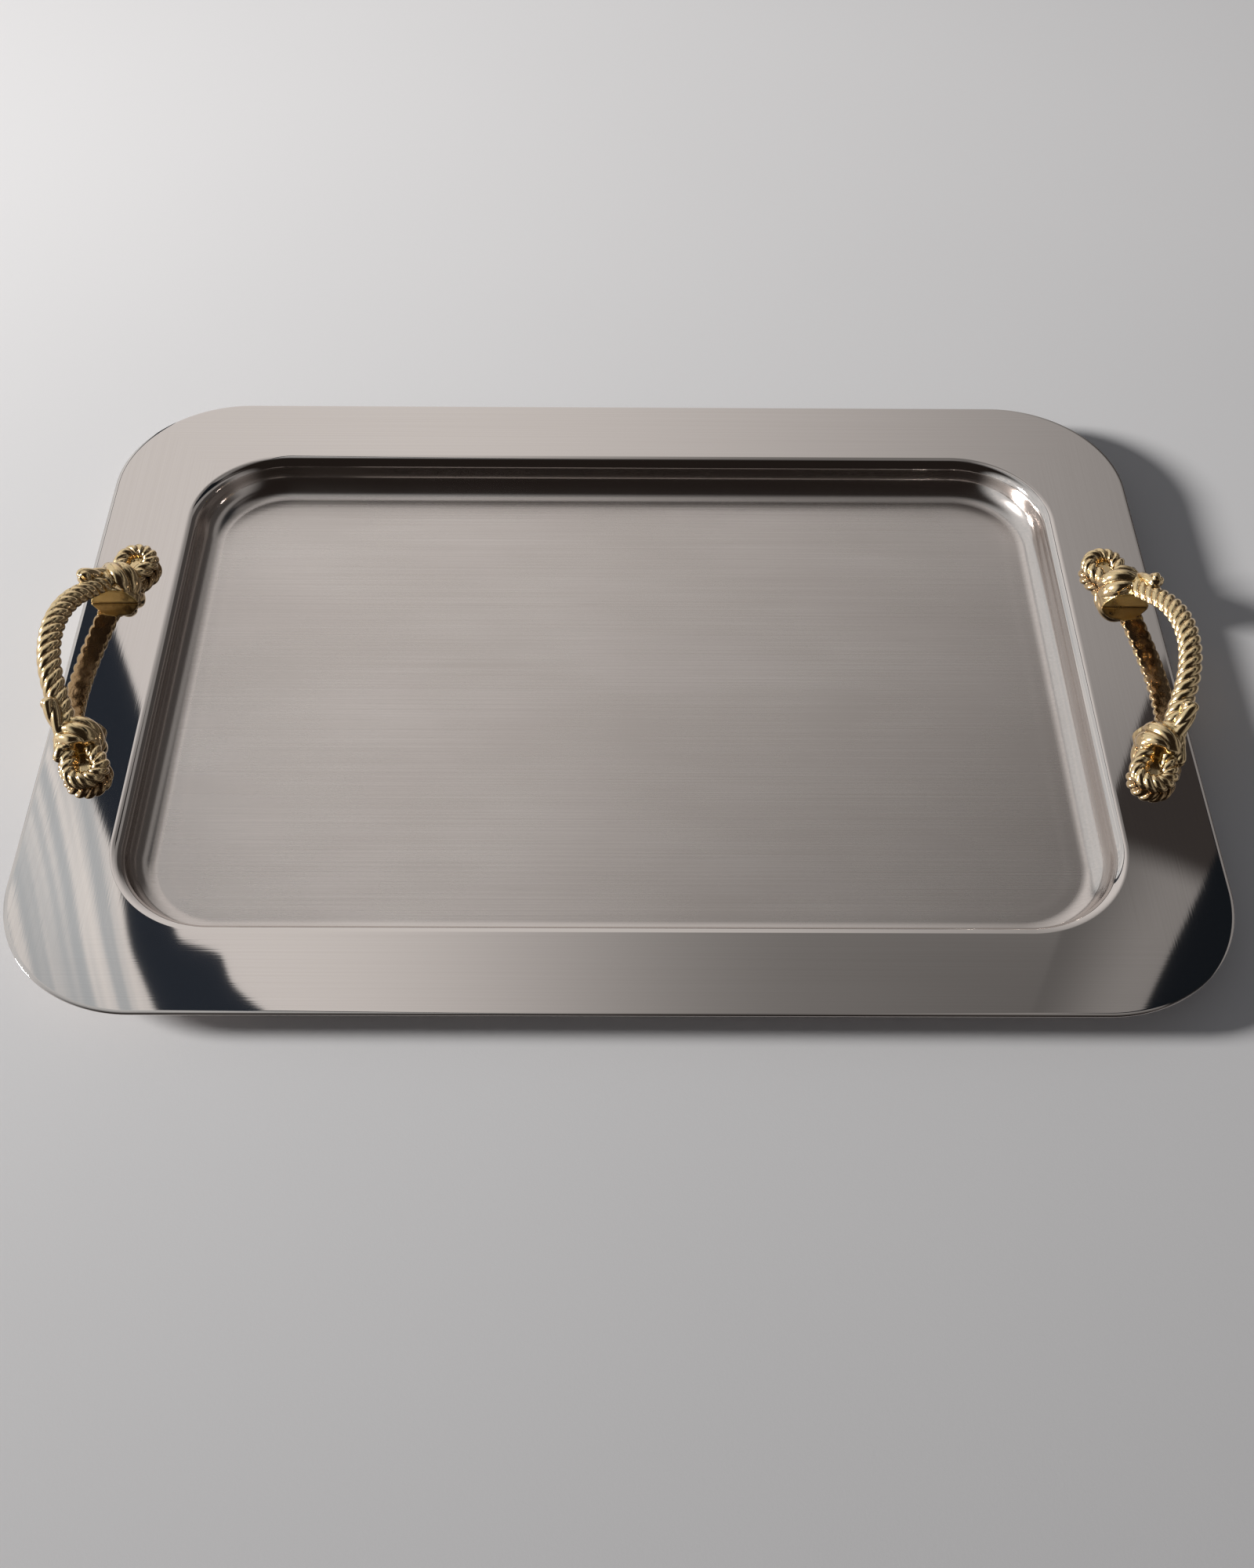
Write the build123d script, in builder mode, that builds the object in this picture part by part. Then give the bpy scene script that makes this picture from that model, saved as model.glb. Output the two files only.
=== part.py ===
from build123d import *
from math import asin, cos, degrees, radians, sin
import os

# Rectangular serving tray: a pressed sheet-steel pan with a cast brass rope handle on each short rim.
# Millimetres. The origin is on the table, under the middle of the tray. +X runs along the long side,
# +Y along the short side and +Z up. Each handle is one casting, held by two screws from under the rim.

# Pan
tray_length = 550.0
tray_width = 400.0
tray_corner = 66.0
rim_width = 42.0
rim_height = 19.0
sheet = 1.0
well_corner = 51.0
shoulder_radius = 6.0
wall_draft = radians(8.0)
cove_radius = 12.0
crown_width = 2.0
crown_drop = 0.4

# Handle bow: a rope bent in a plane that leans outward, with its top just outside the rim
bow_radius = 5.6
bow_bend = 56.3
bow_turn = radians(33.3)
bow_half_span = 50.0
bow_lean = radians(38.3)
bow_top_x = -276.0
bow_top_rise = 24.5

# Knot at each end of the bow
knot_x = -258.0
knot_y = 51.5
knot_turn = radians(20.0)
collar_length = 16.0
collar_shift = 1.0
collar_middle_radius = 11.2
collar_end_radius = 8.8
collar_axis_rise = 4.0
loop_rope_radius = 4.2
loop_bend = 7.3
loop_end = 18.5
loop_taper = 12.0
loop_limb = 15.5
loop_axis_rise = 3.6
web_width = 13.0
web_thickness = 3.2
web_start = 2.0
tail_radius = 3.8
tail_root = Vector(-263.5, 53.0, rim_height + 9.5)
tail_tip = Vector(-270.4, 42.0, rim_height + 20.0)
strand_end = Vector(-264.0, 63.0, rim_height + 4.0)
foot_x = -259.0
foot_y = 42.5
foot_width = 24.0
foot_height = 9.5
foot_length = 9.0
foot_embed = 4.0
seat_depth = 12.0
seat_margin = 10.0
seat_overlap = 10.0

# Fasteners
screw_x = 254.0
screw_y = 50.0
screw_radius = 2.0
screw_length = 8.0
clearance_radius = 2.25
tapped_depth = 7.5
head_radius = 4.0
head_height = 2.4
head_edge = 1.1
recess_width = 0.9
recess_length = 4.2
recess_depth = 1.3
washer_radius = 4.5
washer_bore = 2.15
washer_thickness = 0.8

# Derived sizes
well_length = tray_length - 2 * rim_width
well_width = tray_width - 2 * rim_width
wall_turn = radians(90.0) - wall_draft
well_depth = rim_height - sheet
arcs_depth = (shoulder_radius + cove_radius) * (1 - cos(wall_turn))
wall_slant = (well_depth - arcs_depth) / sin(wall_turn)
cove_reach = (shoulder_radius + cove_radius) * sin(wall_turn) + wall_slant * cos(wall_turn)
crown_radius = (crown_width**2 + crown_drop**2) / (2 * crown_drop)
crown_turn = asin(crown_width / crown_radius)
knot_reach = loop_end + loop_bend + loop_rope_radius


def rounded_loop(length, width, radius):
    """A rounded rectangle on the XY plane, starting in the middle of its near side."""
    with BuildLine() as loop:
        edge = Line((0, -width / 2), (length / 2 - radius, -width / 2))
        for side in (width, length, width):
            bend = JernArc(edge @ 1, edge % 1, radius, 90)
            edge = Line(bend @ 1, bend @ 1 + (bend % 1) * (side - 2 * radius))
        bend = JernArc(edge @ 1, edge % 1, radius, 90)
        Line(bend @ 1, (0, -width / 2))
    return loop.wire()


def section_plane(y):
    """The plane across the near side's middle: local x points into the tray and local y up."""
    return Plane(origin=(0, y, 0), x_dir=(0, 1, 0), z_dir=(1, 0, 0))


# The wall of the well: shoulder, drafted wall and cove, one sheet thick all along
well_path = rounded_loop(well_length, well_width, well_corner)
with BuildPart() as wall_ring:
    with BuildSketch(section_plane(-well_width / 2)):
        with BuildLine():
            shoulder = CenterArc((0, rim_height - shoulder_radius), shoulder_radius, 90, -degrees(wall_turn))
            wall = Line(shoulder @ 1, shoulder @ 1 + (shoulder % 1) * wall_slant)
            cove = JernArc(wall @ 1, wall % 1, cove_radius, degrees(wall_turn))
            floor_end = Line(cove @ 1, (cove_reach, 0))
            under_cove = JernArc(floor_end @ 1, (-1, 0), cove_radius + sheet, -degrees(wall_turn))
            under_wall = Line(under_cove @ 1, under_cove @ 1 + (under_cove % 1) * wall_slant)
            JernArc(under_wall @ 1, under_wall % 1, shoulder_radius - sheet, degrees(wall_turn))
            Line((0, rim_height - sheet), (0, rim_height))
        make_face()
    sweep(path=well_path)

# The crown: the outer edge of the rim rolls gently down
crown_path = rounded_loop(tray_length, tray_width, tray_corner)
with BuildPart() as crown_ring:
    with BuildSketch(section_plane(-tray_width / 2)):
        with BuildLine():
            crown_centre = (crown_width, rim_height - crown_radius)
            top = CenterArc(crown_centre, crown_radius, 90, degrees(crown_turn))
            under = CenterArc(crown_centre, crown_radius - sheet, 90, degrees(crown_turn))
            Line(top @ 1, under @ 1)
            Line(top @ 0, under @ 0)
        make_face()
    sweep(path=crown_path)

# The pan is pressed from one sheet: floor, wall, flat rim and crown
floor_inset = 2 * cove_reach
crown_inset = 2 * crown_width
with BuildPart() as tray_pan:
    with BuildSketch():
        RectangleRounded(well_length - floor_inset, well_width - floor_inset, well_corner - cove_reach)
    extrude(amount=sheet)
    with BuildSketch(Plane.XY.offset(rim_height - sheet)):
        RectangleRounded(tray_length - crown_inset, tray_width - crown_inset, tray_corner - crown_width)
        RectangleRounded(well_length, well_width, well_corner, mode=Mode.SUBTRACT)
    extrude(amount=sheet)
    add(wall_ring.part)
    add(crown_ring.part)
    with Locations((0, 0, rim_height)):
        with GridLocations(2 * screw_x, 2 * screw_y, 2, 2):
            Hole(radius=clearance_radius)

tray_pan.part.label = "tray_pan"

# What the rim fills under its top surface beside a short side, to seat the handle on the rim
seat_length = 2 * (knot_y + knot_reach + seat_margin)
with BuildPart() as rim_seat:
    with BuildSketch(Plane.XZ):
        with BuildLine():
            rim_edge_x = -tray_length / 2
            seat_centre = (rim_edge_x + crown_width, rim_height - crown_radius)
            seat_arc = CenterArc(seat_centre, crown_radius, 90, degrees(crown_turn))
            seat_base = rim_height - seat_depth
            seat_inner = rim_edge_x + rim_width + seat_overlap
            Polyline(
                seat_arc @ 1,
                (rim_edge_x, seat_base),
                (seat_inner, seat_base),
                (seat_inner, rim_height),
                seat_arc @ 0,
            )
        make_face()
    extrude(amount=seat_length / 2, both=True)

# Left handle: one casting. The far knot is made first and mirrored to the near end.
bow_plane = Plane(
    origin=(bow_top_x, 0, rim_height + bow_top_rise),
    x_dir=(0, 1, 0),
    z_dir=(cos(bow_lean), 0, sin(bow_lean)),
)
knot_dir = Vector(sin(knot_turn), cos(knot_turn), 0)
knot_centre = Vector(knot_x, knot_y, rim_height)
knot_plane = Plane(origin=knot_centre, x_dir=knot_dir, z_dir=(0, 0, 1))
loop_plane = knot_plane.offset(loop_axis_rise)
collar_plane = Plane(
    origin=knot_centre + knot_dir * collar_shift + Vector(0, 0, collar_axis_rise),
    x_dir=knot_dir,
    z_dir=knot_plane.y_dir * -1,
)
foot_plane = Plane(origin=(foot_x, foot_y, rim_height), x_dir=(-1, 0, 0), z_dir=(0, 1, 0))
tail_runs = {tail_tip: tail_tip - tail_root, strand_end: strand_end - tail_root}

bow_straight = (bow_half_span - bow_bend * sin(bow_turn)) / cos(bow_turn)
with BuildLine(bow_plane) as bow_path:
    bow_arc = CenterArc((0, -bow_bend), bow_bend, 90 - degrees(bow_turn), degrees(2 * bow_turn))
    Line(bow_arc @ 0, bow_arc @ 0 - (bow_arc % 0) * bow_straight)
    Line(bow_arc @ 1, bow_arc @ 1 + (bow_arc % 1) * bow_straight)

with BuildLine(loop_plane) as loop_path:
    loop_arc = CenterArc((loop_end, 0), loop_bend, -90 - loop_taper, 180 + 2 * loop_taper)
    Line(loop_arc @ 0, loop_arc @ 0 - (loop_arc % 0) * loop_limb)
    Line(loop_arc @ 1, loop_arc @ 1 + (loop_arc % 1) * loop_limb)

with BuildPart() as knot:
    # Loop of rope that lies on the rim, closed by a thin web
    with BuildSketch(loop_path.wire() ^ 0):
        Circle(loop_rope_radius)
    sweep(path=loop_path.wire())
    with BuildSketch(knot_plane):
        with Locations(((loop_end + web_start * 2) / 2, 0)):
            SlotCenterToCenter(loop_end - web_start * 2, web_width)
    extrude(amount=web_thickness)
    # Collar wrapped round the neck of the loop
    with BuildSketch(collar_plane):
        with BuildLine():
            half = collar_length / 2
            belly = ThreePointArc((-half, collar_end_radius), (0, collar_middle_radius), (half, collar_end_radius))
            Polyline(belly @ 0, (-half, 0), (half, 0), belly @ 1)
        make_face()
    revolve(axis=Axis(collar_plane.origin, knot_dir))
    # Half-moon foot under the collar
    with BuildSketch(foot_plane):
        with BuildLine():
            base = foot_width / 2
            arch = ThreePointArc((-base, 0), (0, foot_height), (base, 0))
            Polyline((-base, 0), (-base, -foot_embed), (base, -foot_embed), (base, 0))
        make_face()
    extrude(amount=foot_length)
    # Tail of the rope: it lies beside the bow and passes outside the collar down to the loop
    for run_end, run in tail_runs.items():
        with BuildSketch(Plane(origin=tail_root, z_dir=run)):
            Circle(tail_radius)
        extrude(amount=run.length)
        with Locations(run_end):
            Sphere(tail_radius)

with BuildPart() as left_handle:
    add(knot.part)
    mirror(about=Plane.XZ)
    with BuildSketch(bow_path.wire() ^ 0):
        Circle(bow_radius)
    sweep(path=bow_path.wire())
    add(rim_seat.part, mode=Mode.SUBTRACT)
    with Locations(Plane(origin=(-screw_x, 0, rim_height), z_dir=(0, 0, -1))):
        with GridLocations(1, 2 * screw_y, 1, 2):
            Hole(radius=screw_radius, depth=tapped_depth)

left_handle.part.label = "left_handle"

# The right handle is the same casting, turned half a turn
with BuildPart() as right_handle:
    add(left_handle.part.rotate(Axis.Z, 180))

right_handle.part.label = "right_handle"

os.makedirs("parts", exist_ok=True)
for piece in (tray_pan, left_handle, right_handle):
    export_step(piece.part, f"parts/{piece.part.label}.step")

# A washer and a pan-head screw under each foot
corner_names = {"left_near": (-1, -1), "left_far": (-1, 1), "right_near": (1, -1), "right_far": (1, 1)}
for name, (side_x, side_y) in corner_names.items():
    seat_plane = Plane(origin=(side_x * screw_x, side_y * screw_y, rim_height - sheet), z_dir=(0, 0, -1))
    head_plane = seat_plane.offset(washer_thickness)

    with BuildPart() as washer:
        with BuildSketch(seat_plane):
            Circle(washer_radius)
            Circle(washer_bore, mode=Mode.SUBTRACT)
        extrude(amount=washer_thickness)
    washer.part.label = f"washer_{name}"
    export_step(washer.part, f"parts/{washer.part.label}.step")

    with BuildPart() as screw:
        with BuildSketch(head_plane):
            Circle(head_radius)
        extrude(amount=head_height)
        fillet(screw.faces().sort_by(Axis.Z)[0].edges(), head_edge)
        with BuildSketch(head_plane.offset(head_height)):
            Rectangle(recess_length, recess_width)
            Rectangle(recess_width, recess_length)
        extrude(amount=-recess_depth, mode=Mode.SUBTRACT)
        with BuildSketch(head_plane):
            Circle(screw_radius)
        extrude(amount=-screw_length)
    screw.part.label = f"screw_{name}"
    export_step(screw.part, f"parts/{screw.part.label}.step")
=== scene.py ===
"""Serving tray: a pressed steel pan with a cast brass rope handle on each short rim.

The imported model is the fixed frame. The pan and the handles are rebuilt here with their finer shape,
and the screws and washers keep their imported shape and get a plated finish.
"""
import logging
from dataclasses import dataclass, field, replace
from enum import Enum
from math import asin, cos, degrees, pi, radians, sin, sqrt, tau

import bmesh
import bpy
import numpy as np
from mathutils import Matrix, Vector


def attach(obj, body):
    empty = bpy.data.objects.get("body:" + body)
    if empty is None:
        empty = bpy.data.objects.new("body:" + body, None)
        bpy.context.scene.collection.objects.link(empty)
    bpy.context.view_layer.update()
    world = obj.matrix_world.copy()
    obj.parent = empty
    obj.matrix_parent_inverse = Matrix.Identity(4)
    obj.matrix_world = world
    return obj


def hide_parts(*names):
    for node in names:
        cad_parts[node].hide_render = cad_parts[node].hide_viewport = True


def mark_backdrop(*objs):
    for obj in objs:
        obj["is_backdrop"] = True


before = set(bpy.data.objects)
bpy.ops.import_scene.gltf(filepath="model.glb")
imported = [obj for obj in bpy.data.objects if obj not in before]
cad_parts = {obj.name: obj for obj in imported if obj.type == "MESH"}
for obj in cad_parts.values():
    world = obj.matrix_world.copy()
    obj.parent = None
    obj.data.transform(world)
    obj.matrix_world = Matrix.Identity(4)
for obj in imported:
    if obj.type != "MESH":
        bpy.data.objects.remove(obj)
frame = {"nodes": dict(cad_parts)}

LOG = logging.getLogger("tray")
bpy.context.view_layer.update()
MM = 0.001
RIM_TOP = 19.0 * MM
SHEET = 1.0 * MM
TRAY_LENGTH = 550.0 * MM
TRAY_WIDTH = 400.0 * MM
CROWN_WIDTH = 2.0 * MM
CROWN_DROP = 0.4 * MM
CROWN_RADIUS = (CROWN_WIDTH**2 + CROWN_DROP**2) / (2 * CROWN_DROP)
UP = Vector((0, 0, 1))
COARSE = 5.0
FINE = 1100.0

Colour = tuple[float, float, float]
Triple = tuple[float, float, float]
Pair = tuple[float, float]
Array = np.ndarray
Grid = tuple[Array, Array, Array]


class Turn(Enum):
    """Which short side a handle stands on, as the factor that turns the left casting there."""

    LEFT = 1.0
    RIGHT = -1.0


class Grain(Enum):
    """The way the brush was drawn over the steel: coarse along one axis, fine across it."""

    ALONG_X = (COARSE, FINE, FINE)
    ALONG_Y = (FINE, COARSE, FINE)


# Shader expressions
class Value:
    """A node output that takes part in arithmetic, each step of which adds a node."""

    def __init__(self, shader: "Shader", socket: bpy.types.NodeSocket) -> None:
        """Wrap one output socket of a shader."""
        self.shader = shader
        self.socket = socket

    def _math(self, operation: str, *terms: "Value | float") -> "Value":
        """Add a Math node on the terms, in the order of its sockets."""
        return self.shader.node("ShaderNodeMath", {"operation": operation}, dict(enumerate(terms)))

    def __add__(self, other: "Value | float") -> "Value":
        """Return the sum."""
        return self._math("ADD", self, other)

    __radd__ = __add__

    def __sub__(self, other: "Value | float") -> "Value":
        """Return the difference."""
        return self._math("SUBTRACT", self, other)

    def __rsub__(self, other: float) -> "Value":
        """Return a number less this value."""
        return self._math("SUBTRACT", other, self)

    def __mul__(self, other: "Value | float") -> "Value":
        """Return the product."""
        return self._math("MULTIPLY", self, other)

    __rmul__ = __mul__

    def __abs__(self) -> "Value":
        """Return the size without its sign."""
        return self._math("ABSOLUTE", self)

    def rise(self, low: float, high: float) -> "Value":
        """Ease from 0 at low to 1 at high."""
        return self.shader.node(
            "ShaderNodeMapRange", {"interpolation_type": "SMOOTHSTEP"},
            {"Value": self, "From Min": low, "From Max": high, "To Min": 0.0, "To Max": 1.0},
        )

    def fall(self, low: float, high: float) -> "Value":
        """Ease from 1 at low to 0 at high."""
        return 1 - self.rise(low, high)


class Shader:
    """A node tree under construction, for a material or for the surroundings."""

    def __init__(self, tree: bpy.types.NodeTree) -> None:
        """Start from an empty tree."""
        self.tree = tree
        tree.nodes.clear()

    def node(self, kind: str, settings: dict | None = None, inputs: dict | None = None,
             out: int | str = 0) -> Value:
        """Add a node: its settings first, then the values or links of its sockets.

        Args:
            kind: the node's type.
            settings: the node's own properties.
            inputs: socket values or links, by name or by position.
            out: the output that is wanted.

        Returns:
            The chosen output, or an empty value from a node without outputs.
        """
        made = self.tree.nodes.new(kind)
        for name, value in (settings or {}).items():
            setattr(made, name, value)
        for name, value in (inputs or {}).items():
            socket = made.inputs[name]
            if isinstance(value, Value):
                self.tree.links.new(value.socket, socket)
            elif isinstance(value, tuple) and len(value) == 3 and len(socket.default_value) == 4:
                socket.default_value = (*value, 1.0)
            else:
                socket.default_value = value
        return Value(self, made.outputs[out] if made.outputs else None)

    def place(self) -> Value:
        """Return the place on the object, in metres."""
        return self.node("ShaderNodeTexCoord", out="Object")

    def parts(self, vector: Value) -> tuple[Value, ...]:
        """Split a vector into its three numbers."""
        split = self.node("ShaderNodeSeparateXYZ", inputs={0: vector}).socket.node
        return tuple(Value(self, split.outputs[k]) for k in range(3))

    def stretched(self, vector: Value, scale: Triple) -> Value:
        """Scale a vector along each axis."""
        return self.node("ShaderNodeVectorMath", {"operation": "MULTIPLY"}, {0: vector, 1: scale})

    def noise(self, vector: Value, scale: float, detail: float = 2.0, rough: float = 0.5) -> Value:
        """Return soft noise about one half."""
        return self.node("ShaderNodeTexNoise", inputs={
            "Vector": vector, "Scale": scale, "Detail": detail, "Roughness": rough})

    def mixed(self, factor: Value | float, first: Value | Colour, second: Value | Colour) -> Value:
        """Mix two colours."""
        return self.node("ShaderNodeMix", {"data_type": "RGBA"}, {0: factor, 6: first, 7: second}, 2)

    def blended(self, factor: Value | float, first: Value | float, second: Value | float) -> Value:
        """Mix two numbers."""
        return self.node("ShaderNodeMix", {"data_type": "FLOAT"}, {0: factor, 2: first, 3: second}, 0)

    def carried(self, name: str) -> Value:
        """Return a number that the mesh carries at its points."""
        return self.node("ShaderNodeAttribute", {"attribute_name": name}, out="Fac")

    def bump(self, height: Value, distance: float, strength: float = 1.0) -> Value:
        """Turn a height into a normal."""
        return self.node("ShaderNodeBump", inputs={
            "Height": height, "Distance": distance, "Strength": strength}, out="Normal")

    def finish(self, **inputs: Value | float | Colour) -> None:
        """Add the surface shader and the output."""
        named = {name.replace("_", " "): value for name, value in inputs.items()}
        body = self.node("ShaderNodeBsdfPrincipled", inputs=named)
        self.node("ShaderNodeOutputMaterial", inputs={"Surface": body})


def placed(name: str, data: bpy.types.ID) -> bpy.types.Object:
    """Put a new object with its mesh, light or lens in the scene."""
    made = bpy.data.objects.new(name, data)
    bpy.context.scene.collection.objects.link(made)
    return made


# Finishes
@dataclass(frozen=True)
class Finish:
    """A finish, whose dress method fills a material's nodes."""

    name: str = "plain"

    def material(self) -> bpy.types.Material:
        """Make the finish's material.

        Returns:
            The material, dressed.
        """
        made = bpy.data.materials.new(self.name)
        made.use_nodes = True
        shader = Shader(made.node_tree)
        self.dress(shader, shader.place())
        return made

    def dress(self, shader: Shader, place: Value) -> None:
        """Fill the nodes; each finish has its own."""
        raise NotImplementedError(self.name)


@dataclass(frozen=True)
class PanSteel(Finish):
    """Stainless steel: a mirror rim with hairline brushing and a satin well brushed lengthways."""

    name: str = "pan_stainless"
    steel: Colour = (0.66, 0.605, 0.575)
    shade: Colour = (0.54, 0.485, 0.455)
    rim_rough: float = 0.026
    well_rough: float = 0.27
    opening: Pair = (233.0 * MM, 158.0 * MM)
    mitre: float = 12.0 * MM
    cloud_stretch: Triple = (1.0, 2.4, 1.0)
    scratch_stretch: Triple = (38.0, 520.0, 200.0)
    wave_depth: float = 0.12 * MM
    grain_depth: float = 0.0035 * MM

    def dress(self, shader: Shader, place: Value) -> None:
        """Brush the steel along the rim's sides and lengthways in the well."""
        x, y, _ = shader.parts(place)
        satin = shader.carried("satin")
        corner = (abs(y) - self.opening[1]) - (abs(x) - self.opening[0])
        lengthways = corner.rise(-self.mitre, self.mitre)
        along_x = shader.noise(shader.stretched(place, Grain.ALONG_X.value), 1.0, 3.0, 0.6)
        along_y = shader.noise(shader.stretched(place, Grain.ALONG_Y.value), 1.0, 3.0, 0.6)
        rim_grain = shader.blended(lengthways, along_y, along_x)
        grain = shader.blended(satin.rise(0.1, 0.6), rim_grain, along_x)
        smudge = shader.noise(place, 14.0, 4.0, 0.6)
        cloud = shader.noise(shader.stretched(place, self.cloud_stretch), 6.0, 3.0, 0.55)
        wave = shader.noise(place, 9.0, 1.0, 0.4)
        scratch = shader.noise(shader.stretched(place, self.scratch_stretch), 1.0, 2.0, 0.6)

        streaks = (grain - 0.5) * (0.45 + satin * 0.45)
        clouds = (cloud - 0.5) * 1.1 * satin
        tone = streaks + clouds + 0.25 + satin * 0.3 + scratch.rise(0.68, 0.78) * satin * 0.2
        colour = shader.mixed(tone.rise(-0.2, 0.9), self.steel, self.shade)
        worn = (smudge - 0.5) * 0.08 * satin
        rough = shader.blended(satin, self.rim_rough, self.well_rough) + worn + (grain - 0.5) * 0.05 * satin
        brushed = shader.node("ShaderNodeBump", inputs={
            "Height": grain * (0.30 + satin * 6.0), "Distance": self.grain_depth, "Strength": 1.0,
            "Normal": shader.bump(wave, self.wave_depth, 0.6),
        }, out="Normal")
        shader.finish(Base_Color=colour, Metallic=1.0, Roughness=rough, Normal=brushed)


@dataclass(frozen=True)
class CastBrass(Finish):
    """Polished cast brass with brown patina left in its grooves."""

    name: str = "handle_cast_brass"
    polished: Colour = (0.77, 0.575, 0.325)
    # Warmer gold: painted bounce light in the deep recesses, and also the as-cast skin's own colour.
    bounce_and_cast_gold: Colour = (0.86, 0.61, 0.22)
    patina: Colour = (0.130, 0.073, 0.035)
    relief: float = 0.05 * MM

    def dress(self, shader: Shader, place: Value) -> None:
        """Leave brown patina in the grooves, painted warm bounce light in the recesses and a matt skin where
        it is as cast.
        """
        groove = shader.carried("groove")
        recess = shader.carried("recess")
        cast = shader.carried("cast")
        mottle = shader.noise(place, 180.0, 3.0, 0.6)
        pits = shader.noise(place, 1500.0, 3.0, 0.7)
        broad = shader.noise(place, 420.0, 2.0, 0.5)
        dirt = (groove + (mottle - 0.5) * 0.12).rise(0.50, 0.64)
        # Painted bounce light: deep recesses get the warmer gold and less patina, standing in for light
        # reflected between brass surfaces.
        painted_bounce = recess.rise(0.50, 0.78)
        metal = shader.mixed(painted_bounce * 0.8 + cast * 0.8, self.polished, self.bounce_and_cast_gold)
        colour = shader.mixed(dirt * (1 - painted_bounce * 0.75) * (1 - cast), metal, self.patina)
        rough = 0.13 + dirt * 0.20 + (mottle - 0.5) * 0.10 + cast * 0.16
        height = pits * (0.05 + cast * 1.6 + dirt * 0.4) + broad * (0.35 + cast * 3.0)
        shader.finish(Base_Color=colour, Metallic=1.0, Roughness=rough,
                      Normal=shader.bump(height, self.relief, 0.8))


@dataclass(frozen=True)
class PlatedSteel(Finish):
    """Bright plated steel of the screws and washers, with turning marks and faint wear."""

    name: str = "fastener_plated_steel"
    bright: Colour = (0.62, 0.61, 0.60)
    worn: Colour = (0.40, 0.385, 0.37)
    mark_depth: float = 0.01 * MM

    def dress(self, shader: Shader, place: Value) -> None:
        """Turn the heads and wear their edges."""
        marks = shader.noise(shader.stretched(place, (1.0, 1.0, 3.0)), 2200.0, 3.0, 0.65)
        wear = shader.noise(place, 420.0, 4.0, 0.6).rise(0.42, 0.68)
        shader.finish(
            Base_Color=shader.mixed(wear, self.bright, self.worn), Metallic=1.0,
            Roughness=0.24 + wear * 0.16 + (marks - 0.5) * 0.1,
            Normal=shader.bump(marks, self.mark_depth, 0.7),
        )


@dataclass(frozen=True)
class PaperFloor(Finish):
    """Matt pale paper under the tray."""

    name: str = "paper_floor"
    pale: Colour = (0.80, 0.795, 0.80)
    grey: Colour = (0.765, 0.76, 0.765)
    fibre_depth: float = 0.08 * MM

    def dress(self, shader: Shader, place: Value) -> None:
        """Cloud the paper and raise its fibres."""
        fibre = shader.noise(place, 900.0, 3.0, 0.7)
        cloud = shader.noise(place, 3.0, 2.0, 0.5)
        shader.finish(Base_Color=shader.mixed(cloud, self.pale, self.grey), Roughness=0.85,
                      Normal=shader.bump(fibre, self.fibre_depth, 0.35))


# Pan
@dataclass(frozen=True)
class Ring:
    """One level line of the pan: a rounded rectangle, its height, the tilt of its surface and its finish.

    The tilt turns the surface normal from straight up towards the outside of the tray.
    """

    half_x: float
    half_y: float
    corner: float
    z: float
    tilt: float
    satin: float


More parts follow.
